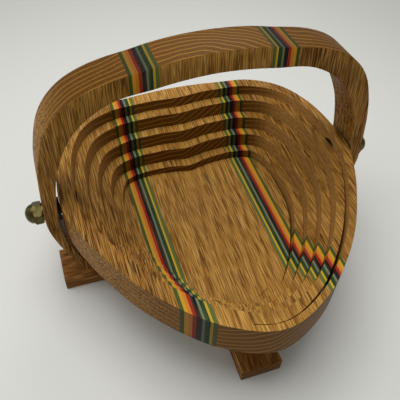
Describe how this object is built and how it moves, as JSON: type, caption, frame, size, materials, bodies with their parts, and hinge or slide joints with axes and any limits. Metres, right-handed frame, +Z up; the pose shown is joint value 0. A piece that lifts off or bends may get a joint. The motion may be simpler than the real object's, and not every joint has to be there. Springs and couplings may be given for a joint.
{
  "type": "collapsible wooden basket",
  "caption": "Collapsible wooden basket cut as a bevelled spiral from one flat board, with a folding handle on two pivot bolts and crossed foot bars.",
  "frame": {"origin": "on the surface that the basket stands on, below the middle of the board, at the middle of the underside of the crossed foot bars", "axes": "+X to the basket's right seen from the front, along the line between the two pivot bolts and the longest extent; +Y to the back; +Z up"},
  "size_m": [0.1766, 0.1615, 0.123],
  "materials": {
    "board_oak": "oiled oak with two packs of thin dyed strips glued in",
    "foot_oak": "oiled oak",
    "dull_brass": "dull, handled brass",
    "screw_steel": "zinc-plated"
  },
  "bodies": {
    "base": {"basket_floor": "board_oak", "turn_5_end_piece": "board_oak", "foot_bar_across": "foot_oak", "foot_bar_lengthwise": "foot_oak", "foot_screw_1": "screw_steel", "foot_screw_2": "screw_steel", "foot_screw_3": "screw_steel", "foot_screw_4": "screw_steel"},
    "rim_ring": {"rim": "board_oak", "pivot_bolt_left": "dull_brass", "pivot_bolt_right": "dull_brass", "spacer_washer_left": "dull_brass", "spacer_washer_right": "dull_brass", "acorn_nut_left": "dull_brass", "acorn_nut_right": "dull_brass"},
    "handle": {"handle": "board_oak"},
    "turn_1_length_1": {"turn_1_piece_1": "board_oak"},
    "turn_1_length_2": {"turn_1_piece_2": "board_oak"},
    "turn_1_length_3": {"turn_1_piece_3": "board_oak"},
    "turn_1_length_4": {"turn_1_piece_4": "board_oak"},
    "turn_1_length_5": {"turn_1_piece_5": "board_oak"},
    "turn_1_length_6": {"turn_1_piece_6": "board_oak"},
    "turn_1_length_7": {"turn_1_piece_7": "board_oak"},
    "turn_1_length_8": {"turn_1_piece_8": "board_oak"},
    "turn_1_length_9": {"turn_1_piece_9": "board_oak"},
    "turn_2_length_1": {"turn_2_piece_1": "board_oak"},
    "turn_2_length_2": {"turn_2_piece_2": "board_oak"},
    "turn_2_length_3": {"turn_2_piece_3": "board_oak"},
    "turn_2_length_4": {"turn_2_piece_4": "board_oak"},
    "turn_2_length_5": {"turn_2_piece_5": "board_oak"},
    "turn_2_length_6": {"turn_2_piece_6": "board_oak"},
    "turn_2_length_7": {"turn_2_piece_7": "board_oak"},
    "turn_2_length_8": {"turn_2_piece_8": "board_oak"},
    "turn_2_length_9": {"turn_2_piece_9": "board_oak"},
    "turn_3_length_1": {"turn_3_piece_1": "board_oak"},
    "turn_3_length_2": {"turn_3_piece_2": "board_oak"},
    "turn_3_length_3": {"turn_3_piece_3": "board_oak"},
    "turn_3_length_4": {"turn_3_piece_4": "board_oak"},
    "turn_3_length_5": {"turn_3_piece_5": "board_oak"},
    "turn_3_length_6": {"turn_3_piece_6": "board_oak"},
    "turn_3_length_7": {"turn_3_piece_7": "board_oak"},
    "turn_3_length_8": {"turn_3_piece_8": "board_oak"},
    "turn_3_length_9": {"turn_3_piece_9": "board_oak"},
    "turn_4_length_1": {"turn_4_piece_1": "board_oak"},
    "turn_4_length_2": {"turn_4_piece_2": "board_oak"},
    "turn_4_length_3": {"turn_4_piece_3": "board_oak"},
    "turn_4_length_4": {"turn_4_piece_4": "board_oak"},
    "turn_4_length_5": {"turn_4_piece_5": "board_oak"},
    "turn_4_length_6": {"turn_4_piece_6": "board_oak"},
    "turn_4_length_7": {"turn_4_piece_7": "board_oak"},
    "turn_4_length_8": {"turn_4_piece_8": "board_oak"},
    "turn_4_length_9": {"turn_4_piece_9": "board_oak"}
  },
  "joints": [
    {"name": "collapse", "type": "slide", "parent": "base", "child": "rim_ring", "axis": [0, 0, 1], "range_m": [-0.031, 0]},
    {"name": "turn_1_length_1_drop", "type": "slide", "parent": "base", "child": "turn_1_length_1", "axis": [0, 0, 1], "range_m": [-0.0302, 0]},
    {"name": "turn_1_length_2_drop", "type": "slide", "parent": "base", "child": "turn_1_length_2", "axis": [0, 0, 1], "range_m": [-0.0285, 0]},
    {"name": "turn_1_length_3_drop", "type": "slide", "parent": "base", "child": "turn_1_length_3", "axis": [0, 0, 1], "range_m": [-0.0272, 0]},
    {"name": "turn_1_length_4_drop", "type": "slide", "parent": "base", "child": "turn_1_length_4", "axis": [0, 0, 1], "range_m": [-0.0264, 0]},
    {"name": "turn_1_length_5_drop", "type": "slide", "parent": "base", "child": "turn_1_length_5", "axis": [0, 0, 1], "range_m": [-0.0259, 0]},
    {"name": "turn_1_length_6_drop", "type": "slide", "parent": "base", "child": "turn_1_length_6", "axis": [0, 0, 1], "range_m": [-0.0255, 0]},
    {"name": "turn_1_length_7_drop", "type": "slide", "parent": "base", "child": "turn_1_length_7", "axis": [0, 0, 1], "range_m": [-0.025, 0]},
    {"name": "turn_1_length_8_drop", "type": "slide", "parent": "base", "child": "turn_1_length_8", "axis": [0, 0, 1], "range_m": [-0.0245, 0]},
    {"name": "turn_1_length_9_drop", "type": "slide", "parent": "base", "child": "turn_1_length_9", "axis": [0, 0, 1], "range_m": [-0.0241, 0]},
    {"name": "turn_2_length_1_drop", "type": "slide", "parent": "base", "child": "turn_2_length_1", "axis": [0, 0, 1], "range_m": [-0.0229, 0]},
    {"name": "turn_2_length_2_drop", "type": "slide", "parent": "base", "child": "turn_2_length_2", "axis": [0, 0, 1], "range_m": [-0.0213, 0]},
    {"name": "turn_2_length_3_drop", "type": "slide", "parent": "base", "child": "turn_2_length_3", "axis": [0, 0, 1], "range_m": [-0.0199, 0]},
    {"name": "turn_2_length_4_drop", "type": "slide", "parent": "base", "child": "turn_2_length_4", "axis": [0, 0, 1], "range_m": [-0.0192, 0]},
    {"name": "turn_2_length_5_drop", "type": "slide", "parent": "base", "child": "turn_2_length_5", "axis": [0, 0, 1], "range_m": [-0.0187, 0]},
    {"name": "turn_2_length_6_drop", "type": "slide", "parent": "base", "child": "turn_2_length_6", "axis": [0, 0, 1], "range_m": [-0.0182, 0]},
    {"name": "turn_2_length_7_drop", "type": "slide", "parent": "base", "child": "turn_2_length_7", "axis": [0, 0, 1], "range_m": [-0.0178, 0]},
    {"name": "turn_2_length_8_drop", "type": "slide", "parent": "base", "child": "turn_2_length_8", "axis": [0, 0, 1], "range_m": [-0.0173, 0]},
    {"name": "turn_2_length_9_drop", "type": "slide", "parent": "base", "child": "turn_2_length_9", "axis": [0, 0, 1], "range_m": [-0.0169, 0]},
    {"name": "turn_3_length_1_drop", "type": "slide", "parent": "base", "child": "turn_3_length_1", "axis": [0, 0, 1], "range_m": [-0.0155, 0]},
    {"name": "turn_3_length_2_drop", "type": "slide", "parent": "base", "child": "turn_3_length_2", "axis": [0, 0, 1], "range_m": [-0.014, 0]},
    {"name": "turn_3_length_3_drop", "type": "slide", "parent": "base", "child": "turn_3_length_3", "axis": [0, 0, 1], "range_m": [-0.0127, 0]},
    {"name": "turn_3_length_4_drop", "type": "slide", "parent": "base", "child": "turn_3_length_4", "axis": [0, 0, 1], "range_m": [-0.012, 0]},
    {"name": "turn_3_length_5_drop", "type": "slide", "parent": "base", "child": "turn_3_length_5", "axis": [0, 0, 1], "range_m": [-0.0115, 0]},
    {"name": "turn_3_length_6_drop", "type": "slide", "parent": "base", "child": "turn_3_length_6", "axis": [0, 0, 1], "range_m": [-0.011, 0]},
    {"name": "turn_3_length_7_drop", "type": "slide", "parent": "base", "child": "turn_3_length_7", "axis": [0, 0, 1], "range_m": [-0.0105, 0]},
    {"name": "turn_3_length_8_drop", "type": "slide", "parent": "base", "child": "turn_3_length_8", "axis": [0, 0, 1], "range_m": [-0.0101, 0]},
    {"name": "turn_3_length_9_drop", "type": "slide", "parent": "base", "child": "turn_3_length_9", "axis": [0, 0, 1], "range_m": [-0.0096, 0]},
    {"name": "turn_4_length_1_drop", "type": "slide", "parent": "base", "child": "turn_4_length_1", "axis": [0, 0, 1], "range_m": [-0.0082, 0]},
    {"name": "turn_4_length_2_drop", "type": "slide", "parent": "base", "child": "turn_4_length_2", "axis": [0, 0, 1], "range_m": [-0.0068, 0]},
    {"name": "turn_4_length_3_drop", "type": "slide", "parent": "base", "child": "turn_4_length_3", "axis": [0, 0, 1], "range_m": [-0.0055, 0]},
    {"name": "turn_4_length_4_drop", "type": "slide", "parent": "base", "child": "turn_4_length_4", "axis": [0, 0, 1], "range_m": [-0.0047, 0]},
    {"name": "turn_4_length_5_drop", "type": "slide", "parent": "base", "child": "turn_4_length_5", "axis": [0, 0, 1], "range_m": [-0.0042, 0]},
    {"name": "turn_4_length_6_drop", "type": "slide", "parent": "base", "child": "turn_4_length_6", "axis": [0, 0, 1], "range_m": [-0.0038, 0]},
    {"name": "turn_4_length_7_drop", "type": "slide", "parent": "base", "child": "turn_4_length_7", "axis": [0, 0, 1], "range_m": [-0.0033, 0]},
    {"name": "turn_4_length_8_drop", "type": "slide", "parent": "base", "child": "turn_4_length_8", "axis": [0, 0, 1], "range_m": [-0.0029, 0]},
    {"name": "turn_4_length_9_drop", "type": "slide", "parent": "base", "child": "turn_4_length_9", "axis": [0, 0, 1], "range_m": [-0.0024, 0]},
    {"name": "handle_fold", "type": "hinge", "parent": "rim_ring", "child": "handle", "pos_m": [0, 0.008, 0.0493], "axis": [-1, 0, 0], "range_deg": [0, 85.3]}
  ],
  "couplings": [
    {"joint": "turn_1_length_1_drop", "follows": "collapse", "ratio": 0.9722},
    {"joint": "turn_1_length_2_drop", "follows": "collapse", "ratio": 0.9162},
    {"joint": "turn_1_length_3_drop", "follows": "collapse", "ratio": 0.8727},
    {"joint": "turn_1_length_4_drop", "follows": "collapse", "ratio": 0.8493},
    {"joint": "turn_1_length_5_drop", "follows": "collapse", "ratio": 0.8329},
    {"joint": "turn_1_length_6_drop", "follows": "collapse", "ratio": 0.8179},
    {"joint": "turn_1_length_7_drop", "follows": "collapse", "ratio": 0.8033},
    {"joint": "turn_1_length_8_drop", "follows": "collapse", "ratio": 0.7887},
    {"joint": "turn_1_length_9_drop", "follows": "collapse", "ratio": 0.7741},
    {"joint": "turn_2_length_1_drop", "follows": "collapse", "ratio": 0.7352},
    {"joint": "turn_2_length_2_drop", "follows": "collapse", "ratio": 0.6829},
    {"joint": "turn_2_length_3_drop", "follows": "collapse", "ratio": 0.6395},
    {"joint": "turn_2_length_4_drop", "follows": "collapse", "ratio": 0.6161},
    {"joint": "turn_2_length_5_drop", "follows": "collapse", "ratio": 0.5997},
    {"joint": "turn_2_length_6_drop", "follows": "collapse", "ratio": 0.5847},
    {"joint": "turn_2_length_7_drop", "follows": "collapse", "ratio": 0.57},
    {"joint": "turn_2_length_8_drop", "follows": "collapse", "ratio": 0.5555},
    {"joint": "turn_2_length_9_drop", "follows": "collapse", "ratio": 0.5409},
    {"joint": "turn_3_length_1_drop", "follows": "collapse", "ratio": 0.4982},
    {"joint": "turn_3_length_2_drop", "follows": "collapse", "ratio": 0.4497},
    {"joint": "turn_3_length_3_drop", "follows": "collapse", "ratio": 0.4063},
    {"joint": "turn_3_length_4_drop", "follows": "collapse", "ratio": 0.3829},
    {"joint": "turn_3_length_5_drop", "follows": "collapse", "ratio": 0.3665},
    {"joint": "turn_3_length_6_drop", "follows": "collapse", "ratio": 0.3515},
    {"joint": "turn_3_length_7_drop", "follows": "collapse", "ratio": 0.3368},
    {"joint": "turn_3_length_8_drop", "follows": "collapse", "ratio": 0.3222},
    {"joint": "turn_3_length_9_drop", "follows": "collapse", "ratio": 0.3077},
    {"joint": "turn_4_length_1_drop", "follows": "collapse", "ratio": 0.2613},
    {"joint": "turn_4_length_2_drop", "follows": "collapse", "ratio": 0.2165},
    {"joint": "turn_4_length_3_drop", "follows": "collapse", "ratio": 0.1731},
    {"joint": "turn_4_length_4_drop", "follows": "collapse", "ratio": 0.1497},
    {"joint": "turn_4_length_5_drop", "follows": "collapse", "ratio": 0.1332},
    {"joint": "turn_4_length_6_drop", "follows": "collapse", "ratio": 0.1183},
    {"joint": "turn_4_length_7_drop", "follows": "collapse", "ratio": 0.1036},
    {"joint": "turn_4_length_8_drop", "follows": "collapse", "ratio": 0.089},
    {"joint": "turn_4_length_9_drop", "follows": "collapse", "ratio": 0.0745},
    {"joint": "handle_fold", "follows": "collapse", "rad_per_m": -47.968}
  ]
}
